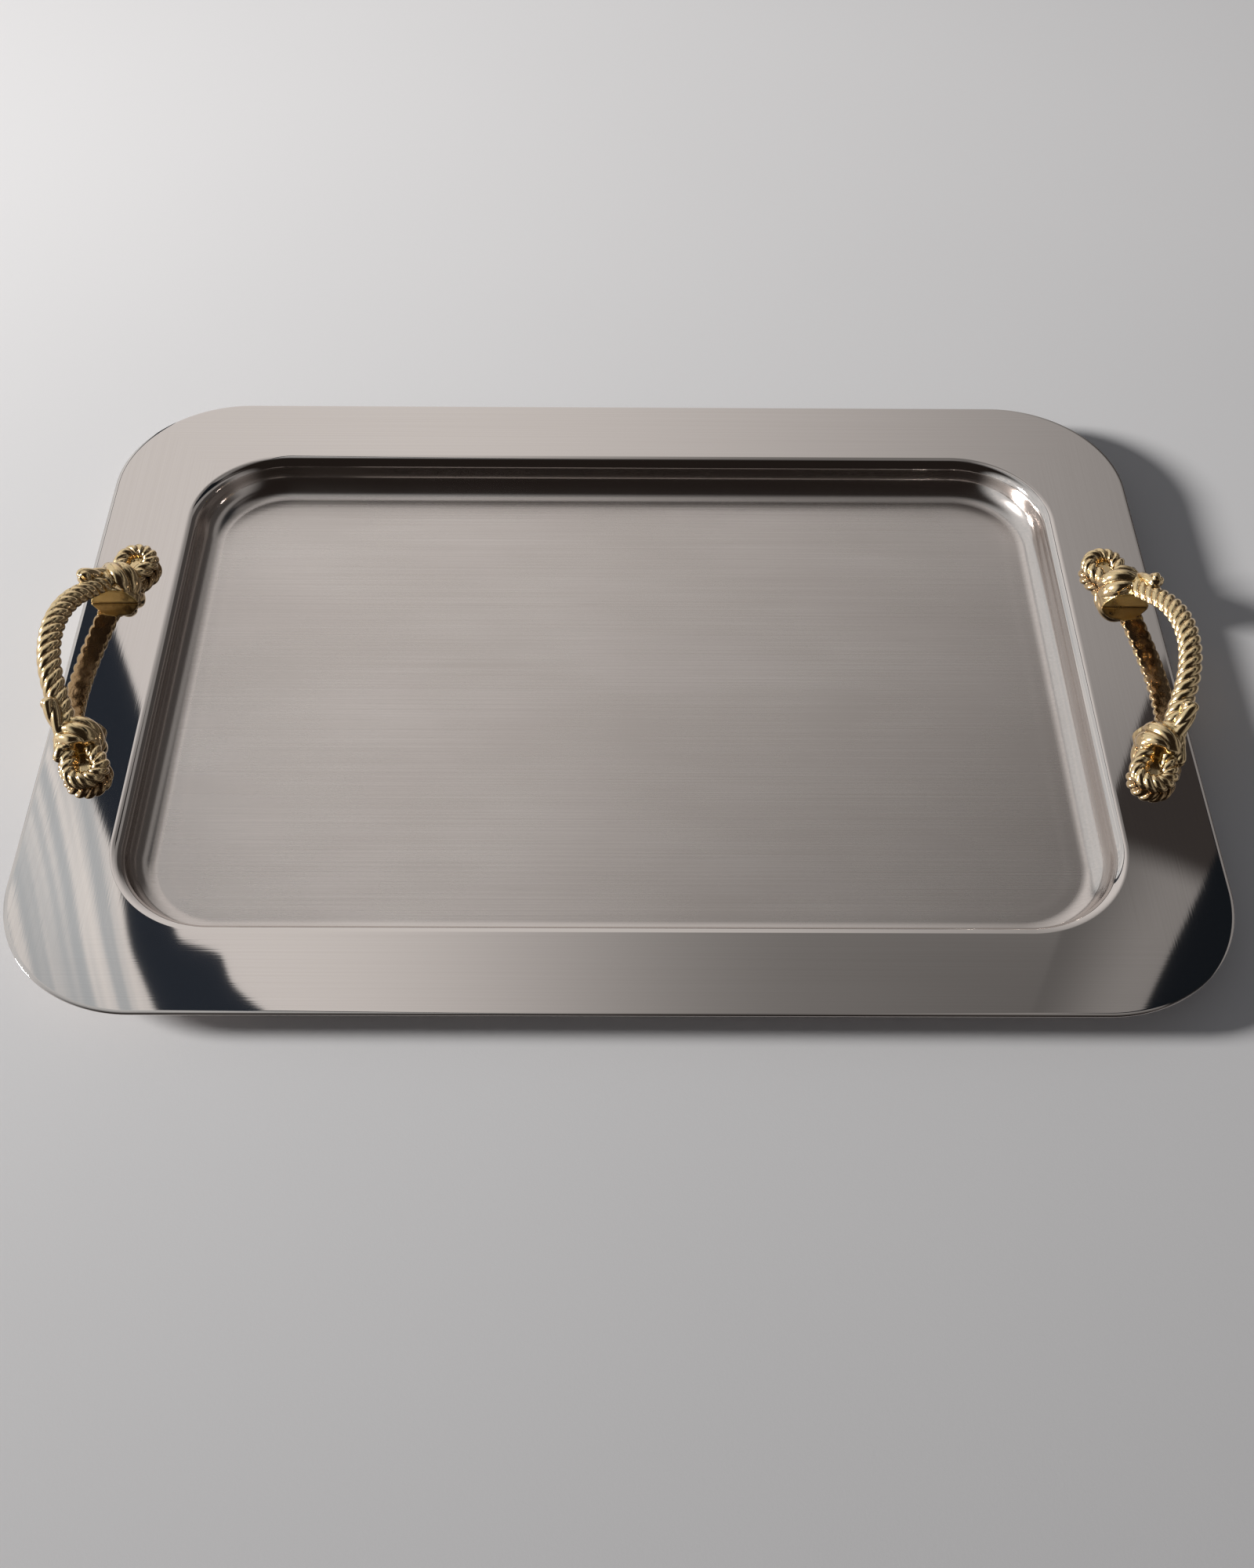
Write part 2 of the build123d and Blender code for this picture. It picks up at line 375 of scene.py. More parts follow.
@dataclass
class TrayPan:
    """The pan, pressed from one sheet: floor, cove, wall, flat rim and slightly rolled crown."""

    corner: float = 66.0 * MM
    rim_width: float = 42.0 * MM
    well_corner: float = 51.0 * MM
    least_corner: float = 4.0 * MM
    shoulder: float = 6.0 * MM
    draft: float = radians(8.0)
    cove: float = 12.0 * MM
    edge: float = 0.28 * MM
    hole_x: float = 254.0 * MM
    hole_y: float = 50.0 * MM
    hole_radius: float = 2.25 * MM
    ridge_width: float = 9.0 * MM
    ridge_height: float = 0.02 * MM
    shoulder_satin: float = 0.26
    wall_satin: float = 0.34
    satin_fade: float = 1.3
    bend_steps: int = 40
    crown_steps: int = 20
    edge_steps: int = 5
    shoulder_steps: int = 12
    slant_steps: int = 4
    cove_steps: int = 24
    ridge_steps: int = 16
    hole_steps: int = 32
    finish: PanSteel = field(default_factory=PanSteel)

    def __post_init__(self) -> None:
        """Work out how far the crown and the wall turn, the wall's straight part and its reach inwards."""
        self.crown_turn = asin(CROWN_WIDTH / CROWN_RADIUS) - self.edge / CROWN_RADIUS
        self.turn = pi / 2 - self.draft
        bends = self.shoulder + self.cove
        self.slant = (RIM_TOP - SHEET - bends * (1 - cos(self.turn))) / sin(self.turn)
        self.reach = bends * sin(self.turn) + self.slant * cos(self.turn)

    def outer(self, inset: float, z: float, tilt: float, satin: float = 0.0) -> Ring:
        """Make a ring at an inset from the outer edge."""
        return Ring(TRAY_LENGTH / 2 - inset, TRAY_WIDTH / 2 - inset, self.corner - inset, z, tilt, satin)

    def inner(self, inset: float, z: float, tilt: float, satin: float) -> Ring:
        """Make a ring at an inset from the well's opening."""
        half_x, half_y = TRAY_LENGTH / 2 - self.rim_width, TRAY_WIDTH / 2 - self.rim_width
        corner = max(self.well_corner - inset, self.least_corner)
        return Ring(half_x - inset, half_y - inset, corner, z, tilt, satin)

    def crown(self, depth: float, outward: bool) -> list[Ring]:
        """Sweep the crown's arc, from the flat rim to the edge.

        Args:
            depth: how far under the top surface it runs.
            outward: whether the rings run from the flat rim outwards.

        Returns:
            The rings in order.
        """
        radius = CROWN_RADIUS - depth
        rings = []
        for k in range(self.crown_steps + 1):
            turn = self.crown_turn * k / self.crown_steps
            tilt = turn + pi if depth else turn
            z = RIM_TOP - CROWN_RADIUS + radius * cos(turn)
            rings.append(self.outer(CROWN_WIDTH - radius * sin(turn), z, tilt))
        return rings if outward else rings[::-1]

    def rolled_edge(self) -> list[Ring]:
        """Round the sheet's edge.

        Returns:
            The rings from the top surface to the underside.
        """
        end = self.crown_turn
        rings = []
        for radius, first in ((CROWN_RADIUS - self.edge, 0.0), (CROWN_RADIUS - SHEET + self.edge, pi / 2)):
            centre_inset = CROWN_WIDTH - radius * sin(end)
            centre_z = RIM_TOP - CROWN_RADIUS + radius * cos(end)
            for k in range(self.edge_steps + 1):
                tilt = end + first + pi / 2 * k / self.edge_steps
                inset = centre_inset - self.edge * sin(tilt)
                rings.append(self.outer(inset, centre_z + self.edge * cos(tilt), tilt))
        return rings[1:-1]

    def wall(self, depth: float) -> list[Ring]:
        """Run the well's side from its opening to its floor.

        Args:
            depth: how far behind the inside surface it runs.

        Returns:
            The rings from the opening downwards.
        """
        turn, flip = self.turn, pi if depth else 0.0
        top, low = self.shoulder - depth, self.cove + depth
        rings = []
        for k in range(self.shoulder_steps + 1):
            angle = turn * k / self.shoulder_steps
            z = RIM_TOP - self.shoulder + top * cos(angle)
            satin = 1.0 if depth else self.shoulder_satin * k / self.shoulder_steps
            rings.append(self.inner(top * sin(angle), z, flip - angle, satin))
        for k in range(1, self.slant_steps + 1):
            step = self.slant * k / self.slant_steps
            inset = top * sin(turn) + step * cos(turn)
            z = RIM_TOP - self.shoulder + top * cos(turn) - step * sin(turn)
            gain = (self.wall_satin - self.shoulder_satin) * k / self.slant_steps
            rings.append(self.inner(inset, z, flip - turn, 1.0 if depth else self.shoulder_satin + gain))
        for k in range(1, self.cove_steps + 1):
            share = k / self.cove_steps
            angle = turn * (1 - share)
            z = SHEET + self.cove - low * cos(angle)
            satin = 1.0 if depth else self.wall_satin + (1 - self.wall_satin) * share**self.satin_fade
            rings.append(self.inner(self.reach - low * sin(angle), z, flip - angle, satin))
        return rings

    def floor(self) -> list[Ring]:
        """Lay the floor's border inside the cove, with the faint pressed ridge that follows its foot.

        Returns:
            The rings from the cove inwards.
        """
        rings = []
        for k in range(1, self.ridge_steps + 1):
            share = k / self.ridge_steps
            lift = self.ridge_height * (1 - cos(tau * share)) / 2
            slope = self.ridge_height * pi / self.ridge_width * sin(tau * share)
            rings.append(self.inner(self.reach + self.ridge_width * share, SHEET + lift, slope, 1.0))
        return rings

    def loop(self, ring: Ring) -> tuple[np.ndarray, np.ndarray]:
        """Place a ring's points.

        Args:
            ring: the level line.

        Returns:
            The points and their surface normals.
        """
        quarters = [np.linspace(k * pi / 2, (k + 1) * pi / 2, self.bend_steps + 1) for k in range(4)]
        angles = np.concatenate(quarters)
        signs = np.repeat([(1, 1), (-1, 1), (-1, -1), (1, -1)], self.bend_steps + 1, axis=0)
        out = np.stack([np.cos(angles), np.sin(angles)], 1)
        centre = signs * (ring.half_x - ring.corner, ring.half_y - ring.corner)
        flat = centre + ring.corner * out
        points = np.column_stack([flat, np.full(len(flat), ring.z)])
        normals = np.column_stack([sin(ring.tilt) * out, np.full(len(flat), cos(ring.tilt))])
        return points, normals

    def hole(self, bm: bmesh.types.BMesh, x: float, y: float, z: float) -> list[bmesh.types.BMVert]:
        """Draw the outline of one screw hole."""
        spins = [tau * k / self.hole_steps for k in range(self.hole_steps)]
        places = [(x + self.hole_radius * cos(spin), y + self.hole_radius * sin(spin), z) for spin in spins]
        return [bm.verts.new(place) for place in places]

    def build(self) -> bpy.types.Object:
        """Build the pan as one closed mesh.

        Returns:
            The object.
        """
        inside = self.floor()[::-1] + self.wall(0.0)[::-1]
        outside = self.crown(0.0, True) + self.rolled_edge() + self.crown(SHEET, False)
        under = self.wall(SHEET)
        bm = bmesh.new()
        satin_layer = bm.verts.layers.float.new("satin")
        normals: list[np.ndarray] = []

        def lay(ring: Ring) -> list[bmesh.types.BMVert]:
            """Add one ring's points and keep their normals."""
            points, directions = self.loop(ring)
            normals.append(directions)
            verts = [bm.verts.new(point) for point in points]
            for vert in verts:
                vert[satin_layer] = ring.satin
            return verts

        bands = [[lay(ring) for ring in rings] for rings in (inside, outside, under)]
        for band in bands:
            for first, second in zip(band, band[1:]):
                for k in range(len(first)):
                    bm.faces.new((first[k - 1], first[k], second[k], second[k - 1])).smooth = True

        holes = {RIM_TOP: [], RIM_TOP - SHEET: []}
        for side_x in (-1, 1):
            for side_y in (-1, 1):
                for z, circles in holes.items():
                    circles.append(self.hole(bm, side_x * self.hole_x, side_y * self.hole_y, z))
        normals.append(np.tile((0.0, 0.0, 1.0), (len(bm.verts) - sum(map(len, normals)), 1)))
        for top, low in zip(*holes.values()):
            for k in range(len(top)):
                bm.faces.new((top[k - 1], low[k - 1], low[k], top[k]))

        def edges(verts: list[bmesh.types.BMVert]) -> list[bmesh.types.BMEdge]:
            """Return the closed chain of edges through the points, adding those that are missing."""
            found = []
            for k in range(len(verts)):
                pair = (verts[k - 1], verts[k])
                found.append(bm.edges.get(pair) or bm.edges.new(pair))
            return found

        plates = (
            (edges(bands[0][-1]) + edges(bands[1][0]) + sum(map(edges, holes[RIM_TOP]), []), 1.0),
            (edges(bands[1][-1]) + edges(bands[2][0]) + sum(map(edges, holes[RIM_TOP - SHEET]), []), -1.0),
            (edges(bands[0][0]), 1.0),
            (edges(bands[2][-1]), -1.0),
        )
        for chain, facing in plates:
            bmesh.ops.triangle_fill(bm, use_beauty=True, edges=chain, normal=(0.0, 0.0, facing))
        bmesh.ops.recalc_face_normals(bm, faces=bm.faces)

        mesh = bpy.data.meshes.new("pan_sheet")
        bm.to_mesh(mesh)
        bm.free()
        table = np.concatenate(normals)
        split = [tuple(table[mesh.loops[k].vertex_index]) if poly.use_smooth else tuple(poly.normal)
                 for poly in mesh.polygons for k in poly.loop_indices]
        mesh.normals_split_custom_set(split)
        mesh.materials.append(self.finish.material())
        return placed("pan_sheet", mesh)


# Handles
def soft_min(first: Array, second: Array, blend: float) -> Array:
    """Join two solids, with a fillet of about the size of blend."""
    overlap = np.maximum(blend - np.abs(first - second), 0.0) / blend
    return np.minimum(first, second) - overlap**2 * blend / 4


def soft_max(first: Array, second: Array, blend: float) -> Array:
    """Keep what is in both solids, with a rounded edge of about the size of blend."""
    return -soft_min(-first, -second, blend)


def crease(share: Array) -> Array:
    """Fall from 0 on top of a ridge to 1 in the groove beside it, with a round back."""
    sharp = 0.95
    return (1 - np.sqrt(1 - (sharp * share) ** 2)) / (1 - sqrt(1 - sharp**2))


def ridge(count: Array) -> Array:
    """Return how far across its ridge each point lies: 0 on top, 1 in the groove."""
    return np.abs(2 * (count - np.round(count)))


@dataclass(frozen=True)
class Frame:
    """A right-handed local frame: origin, direction along, direction across and direction up."""

    origin: Vector
    along: Vector
    across: Vector
    up: Vector

    def split(self, grid: Grid) -> Grid:
        """Return a grid's coordinates along, across and up."""
        shifted = [grid[k] - self.origin[k] for k in range(3)]
        return tuple(sum(shifted[k] * way[k] for k in range(3)) for way in (self.along, self.across, self.up))


@dataclass(frozen=True)
class Lay:
    """How a rope is laid: its radius, strands, ridge spacing, groove depth and hand.

    The slope keeps the grooved solid's distance from growing faster than the real one.
    """

    radius: float
    strands: int
    spacing: float
    depth: float
    hand: float = 1.0
    slope: float = 0.85

    def surface(self, across: Array, up: Array, along: Array, past: Array | float = 0.0) -> Array:
        """Return the rope's solid.

        Args:
            across: the distance from the rope's middle line, in the plane of its bend.
            up: the distance from that plane.
            along: the distance along the rope.
            past: how far past the start of its rounded end each point lies.

        Returns:
            The signed distance, negative inside.
        """
        count = np.arctan2(up, across) * self.strands / tau - self.hand * along / self.spacing
        reach = np.sqrt(across**2 + up**2 + past**2)
        return (reach - self.radius + self.depth * crease(ridge(count))) * self.slope


@dataclass(frozen=True)
class Bend:
    """A middle line of an arc with a straight leg at each end, in the along-across plane of a frame."""

    frame: Frame
    radius: float
    turn: float
    leg: float

    def unroll(self, grid: Grid) -> tuple[Array, Array, Array, Array]:
        """Measure points against the middle line.

        Args:
            grid: the points.

        Returns:
            The distance outwards, the distance from the plane, the distance along from the middle, and
            how far past the end of its leg each point lies.
        """
        along, across, up = self.frame.split(grid)
        out = across + self.radius
        angle = np.arctan2(along, out)
        end_x, end_y = self.radius * sin(self.turn), self.radius * (cos(self.turn) - 1)
        side_x, side_y = np.abs(along) - end_x, across - end_y
        leg_along = side_x * cos(self.turn) - side_y * sin(self.turn)
        leg_out = side_x * sin(self.turn) + side_y * cos(self.turn)
        on_leg = np.abs(angle) > self.turn
        outward = np.where(on_leg, leg_out, np.hypot(along, out) - self.radius)
        run = np.where(on_leg, np.sign(along) * (self.radius * self.turn + leg_along), self.radius * angle)
        past = np.where(on_leg, leg_along, 0.0) - self.leg
        return outward, up, run, past


@dataclass
class Casting:
    """A block of space, sampled on a grid, that a solid is built up in and skinned."""

    low: Triple
    high: Triple
    step: float = 0.36 * MM
    empty: float = 20.0 * MM

    def __post_init__(self) -> None:
        """Lay out the grid, empty."""
        self.shape = tuple(int((self.high[k] - self.low[k]) / self.step) + 1 for k in range(3))
        self.field = np.full(self.shape, self.empty, np.float32)

    def window(self, low: Triple, high: Triple) -> tuple[tuple[slice, ...], Grid]:
        """Pick a part of the grid.

        Args:
            low: the lowest corner.
            high: the highest corner.

        Returns:
            Its slices and its coordinates.
        """
        cuts, axes = [], []
        for k in range(3):
            first = max(int((low[k] - self.low[k]) / self.step), 0)
            last = min(int((high[k] - self.low[k]) / self.step) + 2, self.shape[k])
            cuts.append(slice(first, last))
            line = self.low[k] + self.step * np.arange(first, last)
            axes.append(line.reshape([-1 if j == k else 1 for j in range(3)]))
        return tuple(cuts), tuple(axes)

    def blurred(self, reach: float) -> Array:
        """Measure how much metal is near each point.

        Args:
            reach: how far to each side it is looked for.

        Returns:
            The share that is metal, from 0 to 1, at each point of the grid.
        """
        filled = (self.field < 0).astype(np.float32)
        half = max(int(round(reach / self.step)), 1)
        size = 2 * half + 1
        for _ in range(2):
            for axis in range(3):
                margins = [(half + 1, half) if k == axis else (0, 0) for k in range(3)]
                total = np.cumsum(np.pad(filled, margins, mode="edge"), axis=axis, dtype=np.float64)
                upper = np.take(total, range(size, total.shape[axis]), axis=axis)
                lower = np.take(total, range(0, total.shape[axis] - size), axis=axis)
                filled = ((upper - lower) / size).astype(np.float32)
        return filled

    def skin(self) -> tuple[Array, Array]:
        """Draw the solid's surface: one point in each cell that it crosses.

        Returns:
            The points and the four-sided faces.
        """
        values = self.field
        for axis in range(3):
            before, after = np.roll(values, 1, axis), np.roll(values, -1, axis)
            values = (before + 2 * values + after) / 4
        inside = values < 0
        corners = [(i, j, k) for i in (0, 1) for j in (0, 1) for k in (0, 1)]
        size = [n - 1 for n in values.shape]
        shifted = [inside[i:i + size[0], j:j + size[1], k:k + size[2]] for i, j, k in corners]
        stacked = sum(corner.astype(np.int8) for corner in shifted)
        cells = np.argwhere((stacked > 0) & (stacked < 8))
        total = np.zeros((len(cells), 3))
        hits = np.zeros(len(cells))
        for a in corners:
            for axis in range(3):
                if a[axis]:
                    continue
                b = tuple(a[k] + (k == axis) for k in range(3))
                first = values[tuple((cells + a).T)].astype(float)
                second = values[tuple((cells + b).T)].astype(float)
                crossed = (first < 0) != (second < 0)
                share = np.where(crossed, first / np.where(crossed, first - second, 1.0), 0.0)
                point = np.array(a, float) + np.outer(share, [k == axis for k in range(3)])
                total += point * crossed[:, None]
                hits += crossed
        points = np.array(self.low) + self.step * (cells + total / hits[:, None])
        number = np.full(size, -1, np.int64)
        number[tuple(cells.T)] = np.arange(len(cells))
        faces = []
        for axis in range(3):
            others = [k for k in range(3) if k != axis]
            first = inside[tuple(slice(None, -1) if k == axis else slice(1, -1) for k in range(3))]
            second = inside[tuple(slice(1, None) if k == axis else slice(1, -1) for k in range(3))]
            for filled in (True, False):
                edge = np.argwhere((first == filled) & (second != filled))
                base = edge + [0 if k == axis else 1 for k in range(3)]
                quad = []
                for shift in ((1, 1), (0, 1), (0, 0), (1, 0)):
                    cell = base.copy()
                    cell[:, others[0]] -= shift[0]
                    cell[:, others[1]] -= shift[1]
                    quad.append(number[tuple(cell.T)])
                forward = filled == (axis != 1)
                faces.append(np.stack(quad if forward else quad[::-1], 1))
        return points, np.concatenate(faces)


@dataclass
class RopeHandle:
    """One cast handle: a rope bent into a bow, with a knot, a loop, a tail and a foot at each end.

    Sizes are for the handle on the left side. The right one is the same casting turned half a turn.
    """

    node: str
    side: Turn
    finish: bpy.types.Material
    bow_lay: Lay = Lay(5.8 * MM, 4, 5.4 * MM, 1.25 * MM)
    bow_bend: float = 56.3 * MM
    bow_turn: float = radians(33.3)
    bow_half_span: float = 50.0 * MM
    bow_lean: float = radians(38.3)
    bow_top_x: float = -276.0 * MM
    bow_top_rise: float = 24.5 * MM
    bow_flat: float = 2.7 * MM
    bow_flat_turn: float = radians(24.0)
    bow_flat_edge: float = 0.3 * MM
    hammer_depth: float = 0.04 * MM
    hammer_along: float = 1.3 * MM
    hammer_across: float = 1.1 * MM
    knot_x: float = -258.0 * MM
    knot_y: float = 51.5 * MM
    knot_turn: float = radians(20.0)
    knot_half: float = 24.0 * MM
    knot_start: float = 34.0 * MM
    collar_half: float = 8.0 * MM
    collar_shift: float = 1.0 * MM
    collar_middle: float = 11.9 * MM
    collar_end: float = 9.4 * MM
    collar_rise: float = 4.0 * MM
    collar_strand: float = 8.6 * MM
    collar_groove: float = 2.0 * MM
    collar_fan: float = 0.25
    collar_skew: float = 0.55
    collar_slope: float = 0.7
    collar_round: float = 2.2 * MM
    loop_lay: Lay = Lay(4.4 * MM, 3, 5.7 * MM, 1.3 * MM)
    loop_bend: float = 7.3 * MM
    loop_end: float = 18.5 * MM
    loop_turn: float = radians(102.0)
    loop_leg: float = 15.5 * MM
    loop_rise: float = 3.6 * MM
    loop_spread: float = 0.85
    web_half: float = 6.5 * MM
    web_thickness: float = 3.4 * MM
    tail_lay: Lay = Lay(4.1 * MM, 3, 10.0 * MM, 1.2 * MM)
    tail_root: Triple = (-263.5 * MM, 53.0 * MM, RIM_TOP + 9.5 * MM)
    tail_tip: Triple = (-270.4 * MM, 42.0 * MM, RIM_TOP + 20.0 * MM)
    tail_embed: float = 3.0 * MM
    tail_dome: float = 0.5 * MM
    tail_blunt: float = 1.3
    strand_lay: Lay = Lay(4.1 * MM, 3, 12.0 * MM, 1.2 * MM)
    strand_end: Triple = (-264.0 * MM, 63.0 * MM, RIM_TOP + 4.0 * MM)
    strand_shift: float = 1.0 * MM
    foot_x: float = -259.0 * MM
    foot_face: float = 42.5 * MM
    foot_half: float = 12.3 * MM
    foot_height: float = 9.5 * MM
    foot_length: float = 9.0 * MM
    foot_round: float = 0.5 * MM
    sunk: float = 0.02 * MM
    seat_round: float = 0.8 * MM
    weld: float = 0.45 * MM
    block_outside: float = -283.5 * MM
    block_inside: float = -238.0 * MM
    block_below: float = 4.0 * MM
    block_above: float = 31.0 * MM
    block_margin: float = 2.0 * MM
    groove_reach: float = 0.75 * MM
    recess_reach: float = 2.6 * MM
    cast_depth: float = 0.35 * MM
    cast_over: float = 0.5 * MM

    def bow(self, casting: Casting) -> None:
        """Add the bow: a four-strand rope whose underside is flat, to sit well in the hand."""
        leaning = Frame(Vector((self.bow_top_x, 0, RIM_TOP + self.bow_top_rise)), Vector((0, 1, 0)),
                        Vector((-sin(self.bow_lean), 0, cos(self.bow_lean))),
                        Vector((cos(self.bow_lean), 0, sin(self.bow_lean))))
        leg = (self.bow_half_span - self.bow_bend * sin(self.bow_turn)) / cos(self.bow_turn)
        cut, grid = casting.window(casting.low, casting.high)
        outward, up, run, past = Bend(leaning, self.bow_bend, self.bow_turn, leg).unroll(grid)
        rope = self.bow_lay.surface(outward, up, run)
        hammered = self.hammer_depth * np.sin(run / self.hammer_along) * np.cos(up / self.hammer_across)
        down = outward * cos(self.bow_flat_turn) + up * sin(self.bow_flat_turn)
        rope = soft_max(rope, -(down + self.bow_flat + hammered), self.bow_flat_edge)
        casting.field[cut] = soft_min(casting.field[cut], soft_max(rope, past, self.weld), self.weld)

    def knot(self, casting: Casting, end: float) -> None:
        """Add the knot at one end of the bow.

        Args:
            casting: what it is added to.
            end: 1 far or -1 near.
        """
        low = (self.knot_x - self.knot_half, self.knot_start, casting.low[2])
        high = (self.knot_x + self.knot_half, casting.high[1], casting.high[2])
        if end < 0:
            low, high = (low[0], -high[1], low[2]), (high[0], -low[1], high[2])
        cut, (x, y, z) = casting.window(low, high)
        grid = (x, y * end, z)
        way = Vector((sin(self.knot_turn), cos(self.knot_turn), 0))
        here = Frame(Vector((self.knot_x, self.knot_y, RIM_TOP)), way, Vector((way.y, -way.x, 0)), UP)
        solid = casting.field[cut]
        for part in (self.loop(grid, here, end), self.web(grid, here), self.foot(grid),
                     self.collar(grid, here, end), self.tail(grid, end)):
            solid = soft_min(solid, part, self.weld)
        casting.field[cut] = solid

    def loop(self, grid: Grid, here: Frame, end: float) -> Array:
        """Shape the loop of rope that lies on the rim.

        Args:
            grid: the points.
            here: the knot's frame, on the rim, along from the bow to the loop.
            end: 1 far or -1 near, which is laid the other way.

        Returns:
            The signed distance, negative inside.
        """
        origin = here.origin + here.along * (self.loop_end + self.loop_bend) + UP * self.loop_rise
        level = Frame(origin, here.across, here.along, UP)
        outward, up, run, past = Bend(level, self.loop_bend, self.loop_turn, self.loop_leg).unroll(grid)
        half = self.loop_bend * self.loop_turn
        run = run + np.clip(run, -half, half) * self.loop_lay.radius * self.loop_spread / self.loop_bend
        rope = replace(self.loop_lay, hand=end).surface(outward, up, run)
        return soft_max(rope, past, self.weld)

    def web(self, grid: Grid, here: Frame) -> Array:
        """Shape the thin web that closes the loop.

        Args:
            grid: the points.
            here: the knot's frame.

        Returns:
            The signed distance, negative inside.
        """
        along, across, up = here.split(grid)
        flat = np.hypot(along - np.clip(along, 0.0, self.loop_end), across) - self.web_half
        return np.maximum(flat, up - self.web_thickness)

    def foot(self, grid: Grid) -> Array:
        """Shape the half-moon foot under the collar.

        Args:
            grid: the points.

        Returns:
            The signed distance, negative inside.
        """
        x, y, z = grid
        arch = (self.foot_half**2 + self.foot_height**2) / (2 * self.foot_height)
        round_ = np.hypot(x - self.foot_x, z - (RIM_TOP + self.foot_height - arch)) - arch
        faced = soft_max(round_, self.foot_face - y, self.foot_round)
        return soft_max(faced, y - self.foot_face - self.foot_length, self.foot_round)

    def collar(self, grid: Grid, here: Frame, end: float) -> Array:
        """Shape the collar: strands wrapped round the neck of the loop, wider on the outside of the bow.

        Args:
            grid: the points.
            here: the knot's frame.
            end: 1 far or -1 near, whose strands slant the other way.

        Returns:
            The signed distance, negative inside.
        """
        middle = here.origin + here.along * self.collar_shift + UP * self.collar_rise
        along, across, up = replace(here, origin=middle).split(grid)
        bulge = self.collar_middle - self.collar_end
        radius = self.collar_middle - bulge * (along / self.collar_half) ** 2
        spin = np.arctan2(across, up)
        width = self.collar_strand * (1 + self.collar_fan * np.sin(spin))
        strands = ridge((along + end * self.collar_skew * self.collar_middle * spin) / width)
        wrap = (np.hypot(across, up) - radius + self.collar_groove * crease(strands)) * self.collar_slope
        return soft_max(wrap, np.abs(along) - self.collar_half, self.collar_round)

    def tail(self, grid: Grid, end: float) -> Array:
        """Shape the rope's cut end, laid beside the bow, and its run outside the collar to the loop.

        Args:
            grid: the points.
            end: 1 far or -1 near, which is laid the other way.

        Returns:
            The signed distance, negative inside.
        """
        stubs = []
        root = Vector(self.tail_root)
        for place, shift, lay in ((self.tail_tip, 0.0, self.tail_lay),
                                  (self.strand_end, self.strand_shift, self.strand_lay)):
            run = Vector(place) - root
            way = run.normalized()
            across = way.cross(UP).normalized()
            along, aside, up = Frame(root, way, across, across.cross(way)).split(grid)
            past = np.maximum(along - run.length + self.tail_dome, 0.0) * self.tail_blunt
            rope = replace(lay, hand=-end).surface(aside, up, along + shift, past)
            stubs.append(soft_max(rope, -along - self.tail_embed, self.weld))
        return soft_min(*stubs, self.weld)

    def seat(self, casting: Casting) -> None:
        """Cut the underside to the shape of the rim, a hair below its surface so that no gap shows."""
        cut, (x, _, z) = casting.window(casting.low, casting.high)
        past = np.maximum(CROWN_WIDTH - (x + TRAY_LENGTH / 2), 0.0)
        surface = RIM_TOP - CROWN_RADIUS + np.sqrt(CROWN_RADIUS**2 - np.minimum(past, CROWN_WIDTH) ** 2)
        casting.field[cut] = soft_max(casting.field[cut], surface - self.sunk - z, self.seat_round)

    def build(self) -> bpy.types.Object:
        """Build the handle as one skin.

        Returns:
            The object.
        """
        reach = self.knot_y + self.loop_end + self.loop_bend + self.loop_lay.radius + self.block_margin
        casting = Casting((self.block_outside, -reach, RIM_TOP - self.block_below),
                          (self.block_inside, reach, RIM_TOP + self.block_above))
        self.bow(casting)
        for end in (1.0, -1.0):
            self.knot(casting, end)
        self.seat(casting)
        points, faces = casting.skin()
        cells = np.round((points - casting.low) / casting.step).astype(int)
        # groove feeds the brass's patina; recess feeds its painted warm bounce light in the hollows.
        marks = {"groove": casting.blurred(self.groove_reach), "recess": casting.blurred(self.recess_reach)}
        carried = {name: near[tuple(cells.T)] for name, near in marks.items()}
        on_face = np.abs(np.abs(points[:, 1]) - self.foot_face) < self.cast_depth
        low = points[:, 2] < RIM_TOP + self.foot_height + self.cast_over
        carried["cast"] = (on_face & low).astype(float)
        points = points * (self.side.value, self.side.value, 1.0)
        mesh = bpy.data.meshes.new(self.node + "_casting")
        mesh.from_pydata(points.tolist(), [], faces.tolist())
        mesh.polygons.foreach_set("use_smooth", np.ones(len(faces), bool))
        for name, values in carried.items():
            mesh.attributes.new(name, "FLOAT", "POINT").data.foreach_set("value", values.astype(np.float32))
        mesh.materials.append(self.finish)
        mesh.update()
        return placed(mesh.name, mesh)


